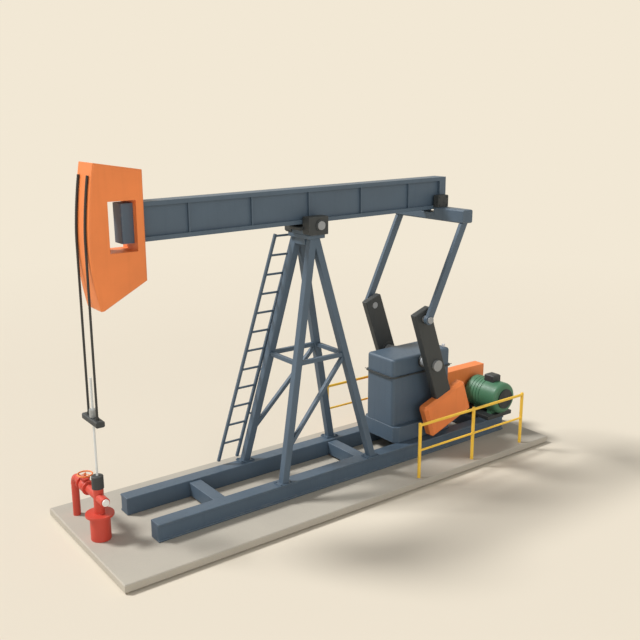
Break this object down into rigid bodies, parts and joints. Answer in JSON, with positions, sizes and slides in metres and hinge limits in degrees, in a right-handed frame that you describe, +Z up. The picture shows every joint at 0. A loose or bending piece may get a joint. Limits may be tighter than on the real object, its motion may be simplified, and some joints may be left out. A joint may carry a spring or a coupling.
{
  "type": "beam pumping unit",
  "caption": "Walking-beam oilfield pumping unit on a concrete pad, with horsehead, bridle, cranks, counterweights, reducer, motor and wellhead.",
  "frame": {"origin": "centre of the concrete pad's underside", "axes": "+X along the pad from the well to the motor, +Z up, +Y to the ladder side"},
  "size_m": [9.848, 3.165, 6.2789],
  "materials": {
    "concrete": "trowelled concrete",
    "structure_blue": "satin enamel",
    "beam_blue": "satin enamel",
    "safety_orange": "satin enamel",
    "machine_black": "satin enamel",
    "bright_steel": "machined",
    "wire_rope": "greased wire",
    "wellhead_red": "gloss enamel",
    "rail_yellow": "gloss enamel",
    "motor_green": "gloss enamel",
    "breather_grey": "cast"
  },
  "bodies": {
    "frame": {"concrete_pad": "concrete", "skid_rails": "structure_blue", "skid_cross_members": "structure_blue", "samson_legs_front": "structure_blue", "samson_legs_rear": "structure_blue", "samson_ring": "structure_blue", "samson_diagonals": "structure_blue", "samson_top_plate": "structure_blue", "saddle_bearings": "machine_black", "ladder": "structure_blue", "ladder_brackets": "structure_blue", "casing_head": "wellhead_red", "pumping_tee": "wellhead_red", "stuffing_box": "machine_black", "flow_valve": "wellhead_red", "flow_line": "wellhead_red", "gearbox_pedestal": "structure_blue", "gearbox_housing": "structure_blue", "gearbox_flange": "machine_black", "gearbox_cover": "structure_blue", "shaft_seals": "machine_black", "breather": "breather_grey", "motor_base_plate": "machine_black", "motor_body": "motor_green", "motor_fan_disc": "machine_black", "motor_shaft": "bright_steel", "terminal_box": "machine_black", "belt_guard": "safety_orange", "guard_posts": "rail_yellow", "guard_bars": "rail_yellow"},
    "walking_beam": {"walking_beam": "beam_blue", "saddle_hub": "machine_black", "saddle_shaft": "bright_steel", "tail_shaft": "machine_black", "horsehead": "safety_orange", "bridle_wrap": "wire_rope"},
    "polished_rod_string": {"bridle_drop": "wire_rope", "polished_rod": "bright_steel", "rod_clamp": "machine_black", "carrier_bar": "machine_black"},
    "cranks": {"crank_shaft": "bright_steel", "crank_pins": "bright_steel", "crank_near": "machine_black", "crank_far": "machine_black", "counterweight_near": "safety_orange", "counterweight_far": "safety_orange"},
    "pitmans": {"equalizer": "beam_blue", "tail_bearings": "machine_black", "wrist_pins": "bright_steel", "pitman_near": "beam_blue", "pitman_far": "beam_blue"},
    "handwheel": {"valve_handwheel": "safety_orange"}
  },
  "joints": [
    {"name": "beam_rock", "type": "hinge", "parent": "frame", "child": "walking_beam", "pos_m": [-0.354, 0, 5.043], "axis": [0, 1, 0], "range_deg": [-3, 13]},
    {"name": "rod_slide", "type": "slide", "parent": "frame", "child": "polished_rod_string", "axis": [0, 0, 1], "range_m": [-0.2235, 0.968]},
    {"name": "crank_rotation", "type": "hinge", "parent": "frame", "child": "cranks", "pos_m": [2.238, 0, 2.065], "axis": [0, 1, 0], "continuous": true},
    {"name": "pitman_swing", "type": "hinge", "parent": "walking_beam", "child": "pitmans", "pos_m": [2.846, 0, 5.273], "axis": [0, 1, 0], "range_deg": [-50, 3]},
    {"name": "valve_wheel_turn", "type": "hinge", "parent": "frame", "child": "handwheel", "pos_m": [-4.619, 0.545, 1.101], "axis": [0, 0, 1], "continuous": true}
  ],
  "couplings": [
    {"joint": "rod_slide", "follows": "beam_rock", "m_per_rad": 4.265}
  ]
}
